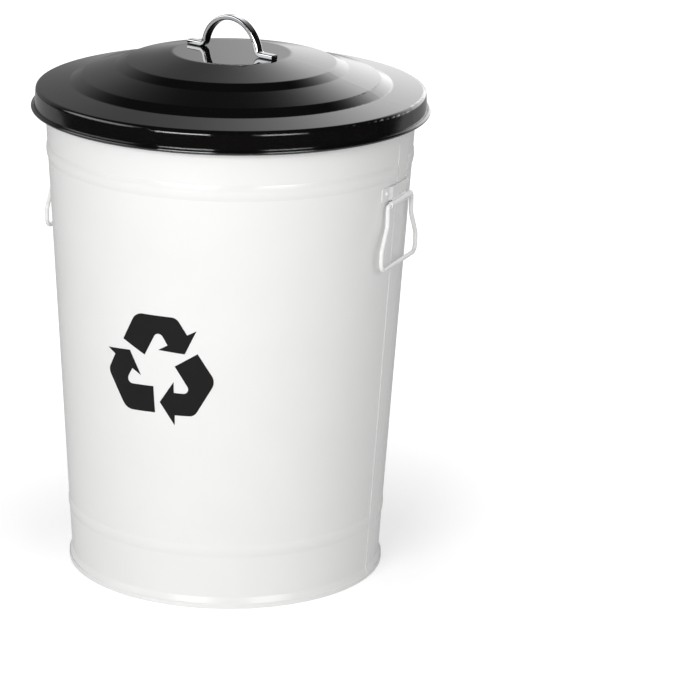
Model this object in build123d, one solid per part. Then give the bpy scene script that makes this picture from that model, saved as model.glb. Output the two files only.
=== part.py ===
from build123d import *
import os
from math import asin, atan, cos, degrees, radians, sin, sqrt, tan

os.makedirs("parts", exist_ok=True)

# Tapered wall, one steel sheet lap-welded on the +X side
can_height = 492.1
base_radius = 157.4
top_radius = 185.1
wall_sheet = 0.8
lap_start_angle = -1.3
lap_width_angle = 7.4
lap_step = 0.65

# Curled top rim
rim_roll_radius = 2.5
rim_roll_turn = 285.0

# Swaged beads, which stop short of the lap on both sides
upper_bead_drop = 62.9
upper_bead_width = 15.5
upper_bead_rise = 1.4
lower_bead_height = 60.5
lower_bead_width = 13.0
lower_bead_rise = 0.75
bead_lap_margin = 4.0
bead_end_wall = 1.2

# Foot of the wall and the pressed base hooked round it
foot_flare = 1.9
foot_height = 5.0
foot_flare_height = 6.0
pan_sheet = 0.8
pan_recess = 8.0
pan_bend_radius = 1.6
hook_height = 4.6

# Lid pressing: skirt and hem, then flange, two risers and a flat disc
lid_sheet = 0.8
lid_seat_gap = 0.3
skirt_gap = 3.5
skirt_drop = 17.3
skirt_flare = 1.35
hem_roll_radius = 2.0
hem_roll_turn = 290.0
shoulder_radius = 3.2
flange_slope = 9.1
flange_run = 27.1
lower_riser_run = 11.9
lower_riser_height = 6.2
shelf_run = 31.7
shelf_height = 9.3
upper_riser_run = 12.1
upper_riser_height = 5.2
crown_height = 8.7
disc_radius = 59.0
step_bend_radius = 5.0
disc_bend_radius = 12.0

# Strap handle on the lid
strap_width = 9.0
strap_thickness = 5.0
strap_edge_radius = 1.5
strap_turn = -16.0
arch_radius = 34.4
foot_bend_radius = 6.0
strap_disc_margin = 4.1

# Handle fasteners: weld studs under the feet, washers and nuts under the lid
stud_diameter = 5.0
stud_length = 7.0
stud_hole_clearance = 0.3
washer_diameter = 12.0
washer_thickness = 1.0
washer_bore_clearance = 0.15
nut_width = 8.0
nut_height = 4.0
nut_bore_clearance = 0.02

# Bail brackets: a plate riveted to the wall, its lower edge rolled over the wire
hinge_drop = 93.3
bracket_sheet = 1.1
bracket_rise = 17.2
bracket_half_width = 34.5
bracket_ear_width = 13.0
bracket_step_run = 4.5
bracket_step_bend = 2.5
ear_rise = 3.4
ear_corner_radius = 3.0
lap_clearance = 0.2
sleeve_play = 0.2
sleeve_half_length = 26.5
sleeve_turn = 205.0
sleeve_lead = 2.2

# Bracket rivets
rivet_edge_distance = 8.0
rivet_rise = 11.5
rivet_shank_diameter = 3.0
rivet_hole_clearance = 0.05
rivet_head_diameter = 5.4
rivet_head_rise = 1.5
rivet_tail_diameter = 5.0
rivet_tail_height = 0.8

# Bails: bent wire, hanging straight down
bail_wire_diameter = 4.4
bail_insertion = 18.0
bail_elbow_radius = 4.0
bail_straight_drop = 20.0
bail_splay_drop = 24.0
bail_splay = 13.8
bail_corner_drop = 19.0
bail_bend_radius = 10.0
bail_corner_radius = 8.0

# Values that follow from the sizes above
taper = (top_radius - base_radius) / can_height
lean = atan(taper)
rim_z = can_height - rim_roll_radius
rim_mid_roll = rim_roll_radius - wall_sheet / 2
upper_bead_height = can_height - upper_bead_drop
flare_top = foot_height + foot_flare_height
foot_radius = base_radius + taper * flare_top + foot_flare
hinge_height = can_height - hinge_drop
hinge_clear = lap_step + lap_clearance + bail_wire_diameter / 2
sleeve_roll_radius = bail_wire_diameter / 2 + sleeve_play + bracket_sheet / 2
sleeve_bend_radius = (bail_wire_diameter - bracket_sheet) / 2
ear_bottom = hinge_height + ear_rise
bracket_top = hinge_height + bracket_rise
bracket_step_half = bracket_half_width - bracket_ear_width
bracket_middle_half = bracket_step_half - bracket_step_run
rivet_half_spacing = bracket_half_width - rivet_edge_distance
rivet_height = hinge_height + rivet_rise
bail_leg_half = sleeve_half_length + bail_elbow_radius
strap_foot_end = disc_radius - strap_disc_margin
profile_plane = Plane.XZ


def wall_radius(z):
    """Outer radius of the tapered wall at height z."""
    return base_radius + taper * z


def wall_middle(z):
    """Radius of the middle of the wall's sheet at height z."""
    return wall_radius(z) - wall_sheet / 2 / cos(lean)


def polar(centre, radius, angle):
    """Point on a circle, with the angle in degrees."""
    x = centre[0] + radius * cos(radians(angle))
    y = centre[1] + radius * sin(radians(angle))
    return (x, y)


def sheet_section(pieces, thickness):
    """Closed section of a bent sheet, from the lines and arcs along its middle."""
    edges = []
    for piece in pieces:
        edges += list(piece.edges())
    return make_face(Wire(edges).offset_2d(thickness / 2).edges())


def above(section, low):
    """Part of a section on the outer side of the axis and above a height."""
    size = 3 * can_height
    window = Rectangle(size, size, align=(Align.MIN, Align.MIN))
    return section & Pos(0, low) * window


def turned(section, start=0.0, turn=360.0):
    """Solid of revolution about the can's axis, from a section in radius and height."""
    solid = revolve(profile_plane * section, axis=Axis.Z, revolution_arc=turn)
    return Rot(0, 0, start) * solid


def bead_section(height, width, rise, inset):
    """Rounded swage across the wall: the arc bulges out from the wall's sheet."""
    low = height - width / 2
    high = height + width / 2
    base_low = (wall_radius(low) - inset, low)
    base_high = (wall_radius(high) - inset, high)
    crest = (wall_radius(height) + rise - inset, height)
    depth = wall_sheet / 2
    back_high = (base_high[0] - depth, high)
    back_low = (base_low[0] - depth, low)
    arc = ThreePointArc(base_low, crest, base_high)
    back = Polyline(base_high, back_high, back_low, base_low)
    return make_face([arc.edge()] + list(back.edges()))


def swage_bead(wall, height, width, rise):
    """Press one interrupted bead into the wall, hollow behind and closed at its ends."""
    margin = degrees(bead_lap_margin / wall_radius(height))
    end_wall = degrees(bead_end_wall / wall_radius(height))
    start = lap_start_angle + lap_width_angle + margin
    turn = 360 - lap_width_angle - 2 * margin
    rib = turned(bead_section(height, width, rise, 0), start, turn)
    hollow_section = bead_section(height, width - 2 * wall_sheet, rise, wall_sheet)
    hollow = turned(hollow_section, start + end_wall, turn - 2 * end_wall)
    return wall + rib - hollow


def rim_centre():
    """Centre of the curled rim's section."""
    height = rim_z + rim_mid_roll * sin(lean)
    return (wall_middle(height) + rim_mid_roll * cos(lean), rim_z)


def make_body_wall():
    """Wall with its foot, curled rim, beads, lap and rivet holes."""
    centre = rim_centre()
    roll_start = 180 - degrees(lean)
    foot_middle = foot_radius - wall_sheet / 2
    side = Polyline(
        (foot_middle, pan_sheet),
        (foot_middle, foot_height),
        (wall_middle(flare_top), flare_top),
        polar(centre, rim_mid_roll, roll_start),
    )
    roll = CenterArc(centre, rim_mid_roll, roll_start, -rim_roll_turn)
    wall = turned(above(sheet_section([side, roll], wall_sheet), pan_sheet))
    wall = wall + make_lap()
    wall = swage_bead(wall, upper_bead_height, upper_bead_width, upper_bead_rise)
    wall = swage_bead(wall, lower_bead_height, lower_bead_width, lower_bead_rise)
    for place in rivet_places():
        wall = wall - place * rivet_hole()
    return wall


def make_lap():
    """Raised edge of the sheet where it laps over itself, from foot to rim."""
    top = rim_z - rim_roll_radius - lid_seat_gap
    inner = Polyline(
        (foot_radius - wall_sheet / 2, foot_height),
        (wall_radius(flare_top) - wall_sheet / 2, flare_top),
        (wall_radius(top) - wall_sheet / 2, top),
    )
    outer = Polyline(
        (wall_radius(top) + lap_step, top),
        (wall_radius(flare_top) + lap_step, flare_top),
        (foot_radius + lap_step, foot_height),
    )
    section = make_face(
        list(inner.edges())
        + [Line(inner @ 1, outer @ 0).edge()]
        + list(outer.edges())
        + [Line(outer @ 1, inner @ 0).edge()]
    )
    return turned(section, lap_start_angle, lap_width_angle)


def make_base_pan():
    """Pressed base: recessed plate, short upstand and the hook round the wall's foot."""
    half = pan_sheet / 2
    plate_z = pan_recess + half
    inner_leg = foot_radius - wall_sheet - half
    lean_in = (foot_radius - wall_sheet / 2 - wall_middle(flare_top)) / foot_flare_height
    sheets_apart = (wall_sheet + pan_sheet) / 2
    corner_z = foot_height - sheets_apart * tan(atan(lean_in) / 2)
    upstand_top = inner_leg - lean_in * (plate_z - corner_z)
    upstand = FilletPolyline(
        (0, plate_z),
        (upstand_top, plate_z),
        (inner_leg, corner_z),
        radius=pan_bend_radius,
    )
    hook = Polyline(
        (inner_leg, corner_z),
        (inner_leg, half),
        (foot_radius + half, half),
        (foot_radius + half, hook_height),
    )
    return turned(above(sheet_section([upstand, hook], pan_sheet), 0))


def skirt_middle(z):
    """Radius of the middle of the lid's flaring skirt at height z."""
    top = rim_centre()[0] + rim_roll_radius + skirt_gap + lid_sheet / 2
    return top + (rim_z - z) * skirt_flare / skirt_drop


def lid_corners():
    """Corners of the lid's middle line, from its axis to the hem."""
    slope = radians(flange_slope)
    lift = rim_roll_radius + lid_seat_gap + lid_sheet / 2
    rim_radius = rim_centre()[0]
    seat_radius = rim_radius + lift * sin(slope)
    seat_z = rim_z + lift * cos(slope)
    shoulder = skirt_middle(seat_z)
    shoulder_z = seat_z - (shoulder - seat_radius) * tan(slope)
    flange_radius = rim_radius - flange_run
    riser_radius = flange_radius - lower_riser_run
    shelf_radius = riser_radius - shelf_run
    upper_radius = shelf_radius - upper_riser_run
    flange_z = seat_z + (seat_radius - flange_radius) * tan(slope)
    riser_z = flange_z + lower_riser_height
    shelf_z = riser_z + shelf_height
    upper_z = shelf_z + upper_riser_height
    disc_z = upper_z + crown_height
    hem_z = rim_z - skirt_drop
    return [
        (0, disc_z),
        (disc_radius, disc_z),
        (upper_radius, upper_z),
        (shelf_radius, shelf_z),
        (riser_radius, riser_z),
        (flange_radius, flange_z),
        (skirt_middle(shoulder_z), shoulder_z),
        (skirt_middle(hem_z), hem_z),
    ]


def disc_height():
    """Height of the top of the lid's flat disc."""
    return lid_corners()[0][1] + lid_sheet / 2


def strap_bend():
    """Centre of the bend between arch and foot, above the disc, and its turn."""
    rise = strap_thickness / 2 + foot_bend_radius
    reach = arch_radius + foot_bend_radius
    return sqrt(reach ** 2 - rise ** 2), rise, degrees(asin(rise / reach))


def stud_offset():
    """Distance of a stud from the lid's axis, in the middle of its flat foot."""
    return (strap_bend()[0] + strap_foot_end) / 2


def stud_places():
    """Plan positions of the two studs along the turned strap."""
    return [polar((0, 0), end * stud_offset(), strap_turn) for end in (-1, 1)]


def make_lid_shell():
    """Stepped lid pressing with its rolled hem and two stud holes."""
    corners = lid_corners()
    bends = [disc_bend_radius] + [step_bend_radius] * 4 + [shoulder_radius]
    top = FilletPolyline(*corners, radius=bends)
    flare = atan(skirt_flare / skirt_drop)
    roll_radius = hem_roll_radius - lid_sheet / 2
    hem_end = corners[-1]
    hem_centre = (hem_end[0] + roll_radius * cos(flare), hem_end[1] + roll_radius * sin(flare))
    roll = CenterArc(hem_centre, roll_radius, 180 + degrees(flare), hem_roll_turn)
    shell = turned(above(sheet_section([top, roll], lid_sheet), 0))
    hole_radius = stud_diameter / 2 + stud_hole_clearance
    for x, y in stud_places():
        shell = shell - Pos(x, y, disc_height()) * Cylinder(hole_radius, 4 * lid_sheet)
    return shell


def make_lid_handle():
    """Strap bent into an arch with two flat feet, and the studs welded under them."""
    disc_z = disc_height()
    foot_z = disc_z + strap_thickness / 2
    bend_x, rise, turn = strap_bend()
    bend_z = disc_z + rise
    arch = CenterArc((0, disc_z), arch_radius, turn, 180 - 2 * turn)
    right_bend = CenterArc((bend_x, bend_z), foot_bend_radius, 180 + turn, 90 - turn)
    left_bend = CenterArc((-bend_x, bend_z), foot_bend_radius, -90, 90 - turn)
    right_foot = Line((strap_foot_end, foot_z), (bend_x, foot_z))
    left_foot = Line((-strap_foot_end, foot_z), (-bend_x, foot_z))
    edges = []
    for piece in (right_foot, right_bend, arch, left_bend, left_foot):
        edges += list(piece.edges())
    path = profile_plane * Wire(edges)
    end_plane = Plane((strap_foot_end, 0, foot_z), x_dir=(0, 1, 0), z_dir=(-1, 0, 0))
    section = end_plane * RectangleRounded(strap_width, strap_thickness, strap_edge_radius)
    strap = sweep(section, path=path)
    for end in (-1, 1):
        stud = Cylinder(
            stud_diameter / 2,
            stud_length + strap_thickness / 2,
            align=(Align.CENTER, Align.CENTER, Align.MAX),
        )
        strap = strap + Pos(end * stud_offset(), 0, foot_z) * stud
    return Rot(0, 0, strap_turn) * strap


def make_handle_washers():
    """Two plain washers against the lid's underside."""
    top = disc_height() - lid_sheet
    bore = stud_diameter / 2 + washer_bore_clearance
    ring = Circle(washer_diameter / 2) - Circle(bore)
    washer = extrude(ring, -washer_thickness)
    return [Pos(x, y, top) * washer for x, y in stud_places()]


def make_handle_nuts():
    """Two hexagon nuts under the washers."""
    top = disc_height() - lid_sheet - washer_thickness
    bore = stud_diameter / 2 + nut_bore_clearance
    hexagon = RegularPolygon(nut_width / 2, 6, major_radius=False) - Circle(bore)
    nut = extrude(hexagon, -nut_height)
    return [Pos(x, y, top) * Rot(0, 0, strap_turn) * nut for x, y in stud_places()]


def hinge_radius():
    """Distance of the bail's hinge line from the can's axis."""
    return wall_radius(hinge_height) + hinge_clear


def make_bracket():
    """Bracket on the +X side: ears on the wall, raised middle and rolled sleeve."""
    hinge_x = hinge_radius()
    middle_z = (ear_bottom + bracket_top) / 2
    middle_x = hinge_x - sleeve_bend_radius / cos(lean) + (middle_z - hinge_height) * taper
    seat_radius = wall_radius(middle_z) + bracket_sheet / 2

    def seat(y):
        return (sqrt(seat_radius ** 2 - y ** 2), y)

    ear_end = bracket_half_width + bracket_sheet
    ear_middle = (ear_end + bracket_step_half) / 2
    near_ear = ThreePointArc(seat(-ear_end), seat(-ear_middle), seat(-bracket_step_half))
    far_ear = ThreePointArc(seat(bracket_step_half), seat(ear_middle), seat(ear_end))
    middle = FilletPolyline(
        seat(-bracket_step_half),
        (middle_x, -bracket_middle_half),
        (middle_x, bracket_middle_half),
        seat(bracket_step_half),
        radius=bracket_step_bend,
    )
    section = sheet_section([near_ear, middle, far_ear], bracket_sheet)
    length = bracket_top - ear_bottom
    along_wall = Vector(sin(lean), 0, cos(lean))
    plate = extrude(Pos(0, 0, middle_z) * section, length, dir=along_wall, both=True)
    bracket = (plate & bracket_outline(hinge_x)) - wall_core() + make_sleeve(hinge_x)
    for place in rivet_places()[:2]:
        bracket = bracket - place * rivet_hole()
    return bracket


def wall_core():
    """Solid cone with the wall's outer face, without its beads and lap."""
    outline = Polyline(
        (0, 0),
        (wall_radius(0), 0),
        (wall_radius(can_height), can_height),
        (0, can_height),
        (0, 0),
    )
    return turned(make_face(outline.edges()))


def bracket_outline(hinge_x):
    """Block with the plate's outline as seen from outside."""
    width = 2 * bracket_half_width
    height = bracket_top - ear_bottom
    outline = RectangleRounded(width, height, ear_corner_radius)
    middle_z = (bracket_top + ear_bottom) / 2
    depth = hinge_x / 4
    plane = Plane((hinge_x, 0, middle_z), x_dir=(0, 1, 0), z_dir=(1, 0, 0))
    return extrude(plane * outline, depth, both=True)


def make_sleeve(hinge_x):
    """Sleeve rolled outward over the wire from the plate's lower edge, open to the wall."""
    bend_z = sleeve_roll_radius + sleeve_bend_radius
    lead = Line((-sleeve_bend_radius, bend_z + sleeve_lead), (-sleeve_bend_radius, bend_z))
    bend = CenterArc((0, bend_z), sleeve_bend_radius, 180, 90)
    roll = CenterArc((0, 0), sleeve_roll_radius, 90, -sleeve_turn)
    end_section = sheet_section([roll], bracket_sheet)
    middle_section = sheet_section([lead, bend, roll], bracket_sheet)
    sleeve = extrude(profile_plane * end_section, sleeve_half_length, both=True)
    sleeve = sleeve + extrude(profile_plane * middle_section, bracket_middle_half, both=True)
    return Pos(hinge_x, 0, hinge_height) * Rot(0, degrees(lean), 0) * sleeve


def rivet_hole():
    """Cutter for one rivet hole through plate and wall."""
    radius = rivet_shank_diameter / 2 + rivet_hole_clearance
    return Cylinder(radius, 4 * (bracket_sheet + wall_sheet))


def rivet_places():
    """Placements on both brackets, at the wall's outer face with Z pointing out."""
    places = []
    for side in (0, 180):
        for end in (-1, 1):
            radius = wall_radius(rivet_height)
            angle = degrees(asin(end * rivet_half_spacing / radius))
            tilt = 90 + degrees(lean)
            place = Rot(0, 0, side + angle) * Pos(radius, 0, rivet_height)
            places.append(place * Rot(0, tilt, 0))
    return places


def make_rivet():
    """Domed rivet along Z, with the wall's outer face at height zero."""
    shank = rivet_shank_diameter / 2
    head = rivet_head_diameter / 2
    tail = rivet_tail_diameter / 2
    tail_top = -wall_sheet - tail ** 2 / (2 * wall_radius(rivet_height))
    tail_end = tail_top - rivet_tail_height
    under_head = bracket_sheet
    crown = under_head + rivet_head_rise
    ball = (head ** 2 + rivet_head_rise ** 2) / (2 * rivet_head_rise)
    half = asin(head / ball) / 2
    dome_mid = (ball * sin(half), crown - ball + ball * cos(half))
    outline = Polyline(
        (0, crown),
        (0, tail_end),
        (tail, tail_end),
        (tail, tail_top),
        (shank, tail_top),
        (shank, under_head),
        (head, under_head),
    )
    dome = ThreePointArc((head, under_head), dome_mid, (0, crown))
    return turned(make_face(list(outline.edges()) + list(dome.edges())))


def make_bail():
    """Bail on the +X side, hanging straight down from its hinge line."""
    hinge_x = hinge_radius()
    inner_end = sleeve_half_length - bail_insertion
    grip_half = bail_leg_half + bail_splay
    splay_end = bail_straight_drop + bail_splay_drop
    half = [
        (inner_end, 0),
        (bail_leg_half, 0),
        (bail_leg_half, -bail_straight_drop),
        (grip_half, -splay_end),
        (grip_half, -splay_end - bail_corner_drop),
    ]
    bends = [bail_elbow_radius, bail_bend_radius, bail_bend_radius, bail_corner_radius]
    points = [Vector(hinge_x, -y, hinge_height + z) for y, z in half]
    points += [Vector(hinge_x, y, hinge_height + z) for y, z in reversed(half)]
    path = FilletPolyline(*points, radius=bends + bends[::-1])
    start_plane = Plane(points[0], z_dir=(0, -1, 0))
    section = start_plane * Circle(bail_wire_diameter / 2)
    return sweep(section, path=path)


def write(name, shape):
    """Write one node's STEP file."""
    if isinstance(shape, list):
        shape = Compound(children=shape)
    export_step(shape, f"parts/{name}.step")


bracket = make_bracket()
bail = make_bail()
rivets = [place * make_rivet() for place in rivet_places()]

write("body_wall", make_body_wall())
write("base_pan", make_base_pan())
write("bracket_right", bracket)
write("bracket_left", Rot(0, 0, 180) * bracket)
write("bracket_rivets_right", rivets[:2])
write("bracket_rivets_left", rivets[2:])
write("bail_right", bail)
write("bail_left", Rot(0, 0, 180) * bail)
write("lid_shell", make_lid_shell())
write("lid_handle", make_lid_handle())
write("lid_handle_washers", make_handle_washers())
write("lid_handle_nuts", make_handle_nuts())
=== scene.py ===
"""Lift-off-lid trash can: finishes, printed sign, studio and camera around the fixed frame."""

import logging
import math
from dataclasses import dataclass
from enum import Enum

import bmesh
import bpy
from mathutils import Matrix, Vector


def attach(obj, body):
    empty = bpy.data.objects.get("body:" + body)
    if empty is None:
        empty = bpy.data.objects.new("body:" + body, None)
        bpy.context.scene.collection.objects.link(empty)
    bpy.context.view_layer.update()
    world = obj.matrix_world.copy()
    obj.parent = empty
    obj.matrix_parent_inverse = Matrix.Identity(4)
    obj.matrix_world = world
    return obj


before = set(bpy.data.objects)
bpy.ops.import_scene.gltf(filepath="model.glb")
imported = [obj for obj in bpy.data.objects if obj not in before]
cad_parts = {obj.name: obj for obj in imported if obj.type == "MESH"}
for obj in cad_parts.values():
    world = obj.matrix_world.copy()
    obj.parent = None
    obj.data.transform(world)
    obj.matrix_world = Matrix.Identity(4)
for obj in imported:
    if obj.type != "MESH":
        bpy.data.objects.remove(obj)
log = logging.getLogger("trash_can")

MM = 0.001
CAMERA_AZIMUTH = math.radians(24.64)


class Body(Enum):
    """Body of the frame that the printed sign rides on."""

    CAN = "can"


class Slot(Enum):
    """Material slots of the record."""

    CAN = "can_enamel"
    FITTING = "fitting_enamel"
    BAIL = "bail_enamel"
    LID = "lid_gloss"
    HANDLE = "handle_chrome"
    ZINC = "zinc"


class NodeSheet:
    """One material's node tree, with short calls for the nodes used here."""

    NOISE_LOW = 0.3
    NOISE_HIGH = 0.7
    CORNER_SAMPLES = 8

    def __init__(self, name: str) -> None:
        """Start an empty node material.

        Args:
            name: name of the Blender material.
        """
        self.material = bpy.data.materials.new(name)
        self.material.use_nodes = True
        self.tree = self.material.node_tree
        self.tree.nodes.clear()
        self.output = self.tree.nodes.new("ShaderNodeOutputMaterial")

    def node(self, kind: str, **inputs: object) -> bpy.types.Node:
        """Add a node and set or link its inputs.

        Args:
            kind: Blender's node type.
            inputs: socket name, with spaces as underscores, to a value or an output socket.

        Returns:
            The new node.
        """
        made = self.tree.nodes.new(kind)
        for name, value in inputs.items():
            self.feed(made.inputs[name.replace("_", " ")], value)
        return made

    def feed(self, socket: bpy.types.NodeSocket, value: object) -> None:
        """Set a socket's value, or link an output into it."""
        if isinstance(value, bpy.types.NodeSocket):
            self.tree.links.new(value, socket)
        else:
            socket.default_value = value

    def place(self) -> bpy.types.NodeSocket:
        """Position on the piece in metres, the same on every body."""
        return self.node("ShaderNodeTexCoord").outputs["Object"]

    def noise(self, grain: float, detail: float = 2.0) -> bpy.types.NodeSocket:
        """Noise whose blotches are about a grain across.

        Args:
            grain: size of a blotch in metres.
            detail: octaves of finer noise.

        Returns:
            The noise's value, about 0.5 on average.
        """
        made = self.node("ShaderNodeTexNoise", Vector=self.place(), Scale=1 / grain, Detail=detail)
        return made.outputs["Fac"]

    def spread(self, value: bpy.types.NodeSocket, low: float, high: float) -> bpy.types.NodeSocket:
        """Map a noise's usual range onto low to high.

        Args:
            value: the noise.
            low: result at the noise's usual low end.
            high: result at its usual high end.

        Returns:
            The mapped value.
        """
        made = self.node("ShaderNodeMapRange", Value=value)
        made.inputs["From Min"].default_value = self.NOISE_LOW
        made.inputs["From Max"].default_value = self.NOISE_HIGH
        made.inputs["To Min"].default_value = low
        made.inputs["To Max"].default_value = high
        return made.outputs["Result"]

    def corner(self, radius: float) -> bpy.types.NodeSocket:
        """Normal that turns smoothly round corners, as a thick coat of enamel does.

        Args:
            radius: how far from a corner the turn starts.

        Returns:
            The rounded normal.
        """
        made = self.node("ShaderNodeBevel", Radius=radius)
        made.samples = self.CORNER_SAMPLES
        return made.outputs["Normal"]

    def bump(self, height: bpy.types.NodeSocket, rise: float, over: object = None) -> bpy.types.NodeSocket:
        """Bump from a height between 0 and 1.

        Args:
            height: the height field.
            rise: metres between its lowest and highest point.
            over: normal of a coarser bump that this one lies on.

        Returns:
            The bumped normal.
        """
        made = self.node("ShaderNodeBump", Height=height, Distance=rise, Strength=1.0)
        if over is not None:
            self.feed(made.inputs["Normal"], over)
        return made.outputs["Normal"]

    def finish(self, shader: bpy.types.NodeSocket) -> bpy.types.Material:
        """Wire the shader to the output and return the material."""
        self.feed(self.output.inputs["Surface"], shader)
        return self.material


@dataclass(frozen=True)
class Coating:
    """Paint baked on sheet steel: colour, gloss, orange peel and slight waves of the sheet."""

    name: str
    colour: tuple[float, float, float]
    roughness: tuple[float, float]
    peel_grain: float
    peel_rise: float
    wave_grain: float
    wave_rise: float
    specular: float = 0.5
    mottling: float = 0.02
    corner_radius: float = 0.0
    gloss_patches: float = 9.0

    def material(self) -> bpy.types.Material:
        """Build the node material of this coating."""
        sheet = NodeSheet(self.name)
        shade = sheet.spread(sheet.noise(self.wave_grain, 3.0), 1 - self.mottling, 1.0)
        colour = sheet.node("ShaderNodeMixRGB", Fac=1.0)
        colour.blend_type = "MULTIPLY"
        colour.inputs["Color1"].default_value = (*self.colour, 1.0)
        sheet.feed(colour.inputs["Color2"], shade)
        base = sheet.corner(self.corner_radius) if self.corner_radius else None
        waves = sheet.bump(sheet.noise(self.wave_grain, 1.0), self.wave_rise, base)
        peel = sheet.bump(sheet.noise(self.peel_grain, 2.0), self.peel_rise, waves)
        gloss = sheet.spread(sheet.noise(self.peel_grain * self.gloss_patches, 4.0), *self.roughness)
        shader = sheet.node("ShaderNodeBsdfPrincipled", Roughness=gloss, Normal=peel)
        sheet.feed(shader.inputs["Base Color"], colour.outputs["Color"])
        shader.inputs["Specular IOR Level"].default_value = self.specular
        return sheet.finish(shader.outputs["BSDF"])


@dataclass(frozen=True)
class Plating:
    """Bright metal plate with fine polishing lines."""

    name: str
    colour: tuple[float, float, float]
    roughness: tuple[float, float]
    line_grain: float
    line_rise: float
    gloss_patches: float = 20.0
    tint_patches: float = 30.0
    tint_low: float = 0.96

    def material(self) -> bpy.types.Material:
        """Build the node material of this plating."""
        sheet = NodeSheet(self.name)
        lines = sheet.bump(sheet.noise(self.line_grain, 4.0), self.line_rise)
        gloss = sheet.spread(sheet.noise(self.line_grain * self.gloss_patches, 4.0), *self.roughness)
        tint = sheet.spread(sheet.noise(self.line_grain * self.tint_patches, 2.0), self.tint_low, 1.0)
        colour = sheet.node("ShaderNodeMixRGB", Fac=1.0)
        colour.blend_type = "MULTIPLY"
        colour.inputs["Color1"].default_value = (*self.colour, 1.0)
        sheet.feed(colour.inputs["Color2"], tint)
        shader = sheet.node("ShaderNodeBsdfPrincipled", Roughness=gloss, Normal=lines)
        sheet.feed(shader.inputs["Base Color"], colour.outputs["Color"])
        shader.inputs["Metallic"].default_value = 1.0
        return sheet.finish(shader.outputs["BSDF"])


class Finish(Enum):
    """The finishes that the can wears."""

    CAN = Coating(
        "can_powder_coat", (0.84, 0.838, 0.832), (0.17, 0.23),
        1.6 * MM, 0.003 * MM, 70 * MM, 0.03 * MM
    )
    FITTING = Coating(
        "fitting_powder_coat", (0.84, 0.84, 0.835), (0.26, 0.34),
        1.3 * MM, 0.005 * MM, 12 * MM, 0.01 * MM
    )
    WIRE = Coating(
        "bail_wire_coat", (0.86, 0.86, 0.855), (0.18, 0.26),
        1.6 * MM, 0.008 * MM, 14 * MM, 0.03 * MM
    )
    LID = Coating(
        "lid_black_enamel", (0.0045, 0.004, 0.004), (0.05, 0.09),
        1.8 * MM, 0.005 * MM, 45 * MM, 0.02 * MM,
        specular=0.9, corner_radius=2.0 * MM
    )
    INK = Coating(
        "sign_black_ink", (0.007, 0.006, 0.006), (0.30, 0.40),
        0.8 * MM, 0.002 * MM, 20 * MM, 0.004 * MM,
        specular=0.2
    )
    CHROME = Plating("handle_chrome_plate", (0.80, 0.81, 0.83), (0.05, 0.09), 0.35 * MM, 0.0006 * MM)
    ZINC = Plating("fastener_zinc_plate", (0.60, 0.61, 0.64), (0.22, 0.34), 0.25 * MM, 0.002 * MM)


def dress(node: str, material: bpy.types.Material) -> None:
    """Give a node of the frame its finish.

    Args:
        node: name of the node.
        material: its node material.
    """
    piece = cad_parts[node]
    piece.data.materials.clear()
    piece.data.materials.append(material)
    log.info("dressed %s with %s", node, material.name)


@dataclass
class CanWall:
    """Outer face of the tapered wall, for what is printed on it."""

    base_radius: float = 157.4 * MM
    top_radius: float = 185.1 * MM
    height: float = 492.1 * MM

    def radius(self, z: float) -> float:
        """Outer radius of the wall at height z."""
        return self.base_radius + (self.top_radius - self.base_radius) * z / self.height


@dataclass(frozen=True)
class Corner:
    """Corner of a flat outline, in metres, with the radius of its rounding."""

    across: float
    up: float
    rounding: float = 0.0

    def turned(self, angle: float) -> "Corner":
        """This corner turned about the outline's origin, anticlockwise in radians."""
        across = self.across * math.cos(angle) - self.up * math.sin(angle)
        up = self.across * math.sin(angle) + self.up * math.cos(angle)
        return Corner(across, up, self.rounding)

    def spot(self) -> Vector:
        """The corner's place as a flat vector."""
        return Vector((self.across, self.up))


def rounded(corners: list[Corner], steps: int = 8) -> list[Vector]:
    """Points round an outline, with an arc in place of each rounded corner.

    Args:
        corners: the outline's corners in order.
        steps: straight pieces in each arc.

    Returns:
        The points in order.
    """
    points = []
    for index, corner in enumerate(corners):
        here = corner.spot()
        if corner.rounding == 0:
            points.append(here)
            continue
        back = (corners[index - 1].spot() - here).normalized()
        on = (corners[(index + 1) % len(corners)].spot() - here).normalized()
        half = back.angle(on) / 2
        centre = here + (back + on).normalized() * corner.rounding / math.sin(half)
        first = here + back * corner.rounding / math.tan(half) - centre
        last = here + on * corner.rounding / math.tan(half) - centre
        sweep = first.angle_signed(last)
        for step in range(steps + 1):
            points.append(centre + Matrix.Rotation(-sweep * step / steps, 2) @ first)
    return points


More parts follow.
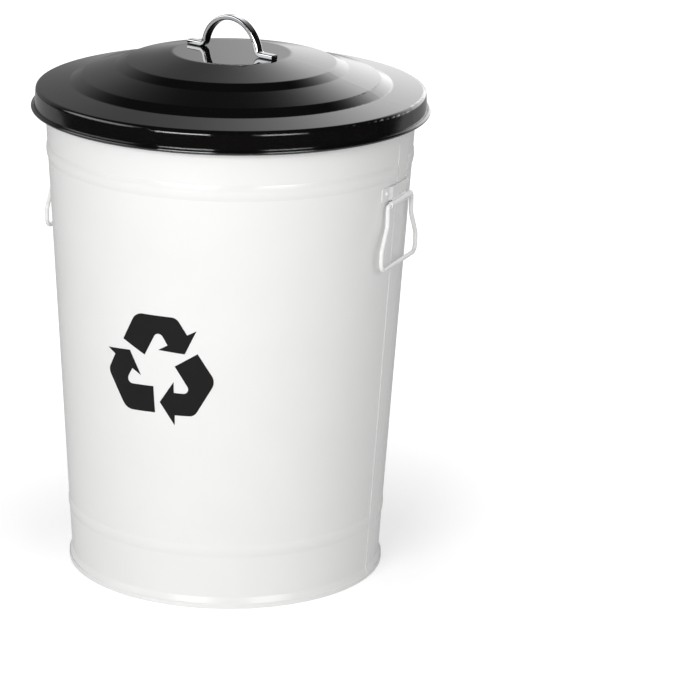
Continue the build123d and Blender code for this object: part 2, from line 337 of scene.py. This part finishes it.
@dataclass(frozen=True)
class RecyclingSign:
    """Three folded arrows chasing one another, printed on the front of the can.

    The flat sign is one arrow made three times about its middle, wrapped round the tapered
    wall as a thin layer of ink.
    """

    wall: CanWall
    bearing: float = math.radians(1.24)
    middle: float = 247.1 * MM
    gap: float = 0.04 * MM
    ink: float = 0.06 * MM
    strip: float = 4.0 * MM
    weld: float = 0.001 * MM
    arrow: tuple[Corner, ...] = (
        Corner(-37.5 * MM, 25.5 * MM),
        Corner(-13.4 * MM, 13.1 * MM),
        Corner(1.6 * MM, 42.0 * MM, 5.0 * MM),
        Corner(11.0 * MM, 25.8 * MM),
        Corner(1.3 * MM, 20.1 * MM),
        Corner(28.2 * MM, 18.5 * MM),
        Corner(39.8 * MM, 43.0 * MM),
        Corner(30.7 * MM, 38.0 * MM),
        Corner(20.2 * MM, 55.0 * MM, 9.0 * MM),
        Corner(-22.2 * MM, 55.0 * MM, 13.0 * MM),
    )

    def build(self, ink: bpy.types.Material) -> bpy.types.Object:
        """Make the printed sign and let it ride on the can.

        Args:
            ink: the ink's material.

        Returns:
            The sign's object.
        """
        shape = bmesh.new()
        for third in range(3):
            corners = [corner.turned(third * math.tau / 3) for corner in self.arrow]
            spots = [shape.verts.new((*point, 0)) for point in rounded(corners)]
            shape.faces.new(spots)
        self.slice(shape)
        bmesh.ops.triangulate(shape, faces=shape.faces[:])
        self.thicken(shape)
        self.wrap(shape)
        mesh = bpy.data.meshes.new("recycling_sign")
        shape.to_mesh(mesh)
        shape.free()
        mesh.materials.append(ink)
        sign = bpy.data.objects.new("recycling_sign", mesh)
        bpy.context.scene.collection.objects.link(sign)
        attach(sign, Body.CAN.value)
        log.info("printed the sign with %d faces", len(mesh.polygons))
        return sign

    def slice(self, shape: bmesh.types.BMesh) -> None:
        """Cut the flat arrows into upright strips, so that they bend with the wall."""
        reach = max(vert.co.x for vert in shape.verts)
        count = math.ceil(reach / self.strip)
        for index in range(-count, count + 1):
            parts = shape.verts[:] + shape.edges[:] + shape.faces[:]
            bmesh.ops.bisect_plane(
                shape, geom=parts, plane_co=(index * self.strip, 0, 0), plane_no=(1, 0, 0), dist=self.weld
            )

    def thicken(self, shape: bmesh.types.BMesh) -> None:
        """Close the flat arrows into a layer as thick as the ink."""
        raised = bmesh.ops.extrude_face_region(shape, geom=shape.faces[:])["geom"]
        for part in raised:
            if isinstance(part, bmesh.types.BMVert):
                part.co.z = self.ink

    def wrap(self, shape: bmesh.types.BMesh) -> None:
        """Bend the flat layer round the tapered wall, just clear of it."""
        girth = self.wall.radius(self.middle)
        for vert in shape.verts:
            angle = self.bearing + vert.co.x / girth
            height = self.middle + vert.co.y
            radius = self.wall.radius(height) + self.gap + vert.co.z
            vert.co = (radius * math.sin(angle), -radius * math.cos(angle), height)
        bmesh.ops.recalc_face_normals(shape, faces=shape.faces[:])


@dataclass(frozen=True)
class SoftBox:
    """Soft lamp placed by its bearing from the camera's side of the can."""

    name: str
    bearing: float
    climb: float
    width: float
    height: float
    power: float
    reach: float = 2.6
    aim_height: float = 0.28

    def build(self) -> None:
        """Hang the lamp and aim it at the can."""
        data = bpy.data.lights.new(self.name, "AREA")
        data.shape = "RECTANGLE"
        data.size = self.width
        data.size_y = self.height
        data.energy = self.power
        lamp = bpy.data.objects.new(self.name, data)
        turn = CAMERA_AZIMUTH + self.bearing
        level = self.reach * math.cos(self.climb)
        aim = Vector((0, 0, self.aim_height))
        away = Vector((math.sin(turn) * level, -math.cos(turn) * level, self.reach * math.sin(self.climb)))
        lamp.location = aim + away
        lamp.rotation_euler = (-away).to_track_quat("-Z", "Y").to_euler()
        bpy.context.scene.collection.objects.link(lamp)


class SkySheet(NodeSheet):
    """Node tree of the studio's world, with arithmetic on the direction of a ray."""

    SOFT_EDGE = 0.18

    def __init__(self, world: bpy.types.World) -> None:
        """Start an empty node tree in a world."""
        world.use_nodes = True
        self.tree = world.node_tree
        self.tree.nodes.clear()
        self.output = self.tree.nodes.new("ShaderNodeOutputWorld")

    def along(self, axis: Vector) -> bpy.types.NodeSocket:
        """Share of the ray's direction along an axis, from -1 to 1."""
        made = self.node("ShaderNodeVectorMath")
        made.operation = "DOT_PRODUCT"
        self.feed(made.inputs[0], self.node("ShaderNodeTexCoord").outputs["Generated"])
        made.inputs[1].default_value = axis
        return made.outputs["Value"]

    def ramp(
        self, value: bpy.types.NodeSocket, ends: tuple[float, float], to: tuple[float, float]
    ) -> bpy.types.NodeSocket:
        """Smooth step between two values.

        Args:
            value: what the step runs along.
            ends: where the step starts and ends.
            to: results at its start and end.

        Returns:
            The stepped value.
        """
        made = self.node("ShaderNodeMapRange", Value=value)
        made.interpolation_type = "SMOOTHSTEP"
        made.inputs["From Min"].default_value = ends[0]
        made.inputs["From Max"].default_value = ends[1]
        made.inputs["To Min"].default_value = to[0]
        made.inputs["To Max"].default_value = to[1]
        return made.outputs["Result"]

    def math(self, kind: str, one: object, other: object) -> bpy.types.NodeSocket:
        """Result of a sum or a product."""
        made = self.node("ShaderNodeMath")
        made.operation = kind
        self.feed(made.inputs[0], one)
        self.feed(made.inputs[1], other)
        return made.outputs["Value"]

    def within(self, spans: tuple[tuple[bpy.types.NodeSocket, tuple[float, float]], ...]) -> object:
        """Share that is 1 inside every span and falls smoothly to 0 at their ends.

        Args:
            spans: values, each with the two ends of its span.

        Returns:
            The share, from 0 to 1.
        """
        share: object = 1.0
        for value, (start, end) in spans:
            rise = self.ramp(value, (start, start + self.SOFT_EDGE), (0.0, 1.0))
            fall = self.ramp(value, (end - self.SOFT_EDGE, end), (1.0, 0.0))
            share = self.math("MULTIPLY", share, self.math("MULTIPLY", rise, fall))
        return share

    def light(self, strength: object) -> bpy.types.NodeSocket:
        """White background light of a strength."""
        made = self.node("ShaderNodeBackground", Color=(1, 1, 1, 1), Strength=strength)
        return made.outputs["Background"]

    def choose(self, share: bpy.types.NodeSocket, off: object, on: object) -> bpy.types.NodeSocket:
        """One light where the share is 0 and another where it is 1."""
        made = self.node("ShaderNodeMixShader")
        self.feed(made.inputs[0], share)
        self.feed(made.inputs[1], off)
        self.feed(made.inputs[2], on)
        return made.outputs["Shader"]


@dataclass(frozen=True)
class SkyPanel:
    """Bright panel that only gloss reflects, as spans of a ray's direction.

    Right and ahead are level and as the camera looks, and up is the world's.
    """

    right: tuple[float, float]
    ahead: tuple[float, float]
    up: tuple[float, float]
    strength: float


@dataclass(frozen=True)
class Studio:
    """White table, two soft lamps beside the camera, and a backdrop and panels that gloss reflects."""

    floor_radius: float = 3.2
    floor_sides: int = 96
    floor_paint: float = 0.8
    # Camera-only glow of the table near and far from the can; the low near value paints shade round the
    # can's foot.
    floor_glow: tuple[float, float] = (0.41, 0.80)
    glow_reach: tuple[float, float] = (0.20, 0.60)
    fill: float = 0.47
    backdrop_left: float = 0.27
    backdrop_right: float = 2.3
    backdrop_ahead: tuple[float, float] = (0.35, 0.80)
    backdrop_across: tuple[float, float] = (-0.12, 0.24)
    backdrop_fade: tuple[float, float] = (0.33, 0.76)
    horizon: tuple[float, float] = (-0.20, 0.0)
    under_horizon: float = 0.15
    dark: float = 0.008
    boxes: tuple[SoftBox, ...] = (
        SoftBox("left_box", math.radians(-25), math.radians(20), 1.36, 0.80, 33.2),
        SoftBox("right_box", math.radians(33), math.radians(20), 1.20, 0.80, 9.6),
    )
    panels: tuple[SkyPanel, ...] = (
        SkyPanel((-0.66, -0.10), (-1.4, -0.25), (-0.02, 0.58), 3.6),
        SkyPanel((0.24, 0.76), (-1.4, -0.25), (-0.02, 0.58), 3.6),
        SkyPanel((-1.4, -0.66), (-0.56, 0.46), (0.02, 0.76), 2.2),
    )

    def build(self) -> None:
        """Make the table, world and lamps."""
        self.make_floor()
        self.make_world()
        for box in self.boxes:
            box.build()

    def make_floor(self) -> None:
        """Plain pale table that keeps the can's soft shadow.

        To the camera alone it glows: dimly near the can, which paints shade round its foot, and
        more so away from the can, so that it meets the white background without an edge.
        """
        shape = bmesh.new()
        bmesh.ops.create_circle(shape, cap_ends=True, radius=self.floor_radius, segments=self.floor_sides)
        mesh = bpy.data.meshes.new("studio_floor")
        shape.to_mesh(mesh)
        shape.free()
        floor = bpy.data.objects.new("studio_floor", mesh)
        bpy.context.scene.collection.objects.link(floor)
        sheet = NodeSheet("studio_floor")
        paint = sheet.node("ShaderNodeBsdfDiffuse", Color=(*[self.floor_paint] * 3, 1.0))
        away = sheet.node("ShaderNodeVectorMath")
        away.operation = "LENGTH"
        sheet.feed(away.inputs[0], sheet.place())
        # Glow strength from the distance to the can's axis: low near the can paints shade round its foot,
        # high far off meets the white background.
        strength = sheet.node("ShaderNodeMapRange", Value=away.outputs["Value"])
        near, far = self.glow_reach
        strength.inputs["From Min"].default_value = near
        strength.inputs["From Max"].default_value = far
        dim, bright = self.floor_glow
        strength.inputs["To Min"].default_value = dim
        strength.inputs["To Max"].default_value = bright
        glow = sheet.node("ShaderNodeEmission", Color=(1, 1, 1, 1), Strength=strength.outputs["Result"])
        both = sheet.node("ShaderNodeAddShader")
        sheet.feed(both.inputs[0], paint.outputs["BSDF"])
        sheet.feed(both.inputs[1], glow.outputs["Emission"])
        path = sheet.node("ShaderNodeLightPath")
        mix = sheet.node("ShaderNodeMixShader")
        sheet.feed(mix.inputs[0], path.outputs["Is Camera Ray"])
        sheet.feed(mix.inputs[1], paint.outputs["BSDF"])
        sheet.feed(mix.inputs[2], both.outputs["Shader"])
        mesh.materials.append(sheet.finish(mix.outputs["Shader"]))

    def make_world(self) -> None:
        """White for the camera, even fill for paint, and a backdrop for what is glossy."""
        world = bpy.data.worlds.new("studio")
        bpy.context.scene.world = world
        sky = SkySheet(world)
        path = sky.node("ShaderNodeLightPath")
        turn = CAMERA_AZIMUTH
        ahead = sky.along(Vector((-math.sin(turn), math.cos(turn), 0)))
        right = sky.along(Vector((math.cos(turn), math.sin(turn), 0)))
        up = sky.along(Vector((0, 0, 1)))
        behind = sky.ramp(ahead, self.backdrop_ahead, (0.0, 1.0))
        side = sky.ramp(right, self.backdrop_across, (self.backdrop_left, self.backdrop_right))
        low = sky.ramp(up, self.backdrop_fade, (1.0, 0.0))
        lit = sky.ramp(up, self.horizon, (self.under_horizon, 1.0))
        backdrop = sky.math("MULTIPLY", sky.math("MULTIPLY", behind, side), sky.math("MULTIPLY", low, lit))
        bright = sky.math("ADD", backdrop, self.dark)
        for panel in self.panels:
            share = sky.within(((right, panel.right), (ahead, panel.ahead), (up, panel.up)))
            bright = sky.math("ADD", bright, sky.math("MULTIPLY", share, panel.strength))
        shine = sky.light(bright)
        matt = sky.choose(path.outputs["Is Glossy Ray"], sky.light(self.fill), shine)
        seen = sky.choose(path.outputs["Is Camera Ray"], matt, sky.light(1.0))
        sky.feed(sky.output.inputs["Surface"], seen)


@dataclass
class PhotoCamera:
    """Camera at the photograph's distance, height, aim and roll."""

    distance: float = 3.1966
    height: float = 1.2243
    pan: float = math.radians(2.22)
    pitch: float = math.radians(17.435)
    roll: float = math.radians(1.40)
    sensor: float = 36.0
    focal_pixels: float = 3298.15
    picture_pixels: int = 700
    far_clip: float = 60.0

    def build(self) -> bpy.types.Object:
        """Create the camera and make it the scene's.

        Returns:
            The camera object.
        """
        data = bpy.data.cameras.new("photo_camera")
        data.sensor_width = self.sensor
        data.lens = self.sensor * self.focal_pixels / self.picture_pixels
        data.clip_end = self.far_clip
        camera = bpy.data.objects.new("photo_camera", data)
        bearing = CAMERA_AZIMUTH - self.pan
        level = math.cos(self.pitch)
        aim = Vector((-math.sin(bearing) * level, math.cos(bearing) * level, -math.sin(self.pitch)))
        turn = aim.to_track_quat("-Z", "Y").to_matrix() @ Matrix.Rotation(self.roll, 3, "Z")
        place = Vector((math.sin(CAMERA_AZIMUTH), -math.cos(CAMERA_AZIMUTH), 0)) * self.distance
        place.z = self.height
        camera.matrix_world = Matrix.Translation(place) @ turn.to_4x4()
        bpy.context.scene.collection.objects.link(camera)
        bpy.context.scene.camera = camera
        return camera


def main() -> None:
    """Build everything around the frame, in order."""
    logging.basicConfig(level=logging.INFO, format="%(message)s")
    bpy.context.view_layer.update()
    made = {finish: finish.value.material() for finish in Finish}
    for node in ("body_wall", "base_pan"):
        dress(node, made[Finish.CAN])
    for side in ("right", "left"):
        dress(f"bracket_{side}", made[Finish.FITTING])
        dress(f"bracket_rivets_{side}", made[Finish.FITTING])
        dress(f"bail_{side}", made[Finish.WIRE])
    dress("lid_shell", made[Finish.LID])
    dress("lid_handle", made[Finish.CHROME])
    for node in ("lid_handle_washers", "lid_handle_nuts"):
        dress(node, made[Finish.ZINC])
    RecyclingSign(CanWall()).build(made[Finish.INK])
    Studio().build()
    PhotoCamera().build()
    bpy.context.scene.view_settings.view_transform = "Standard"


if __name__ == "__main__":
    main()
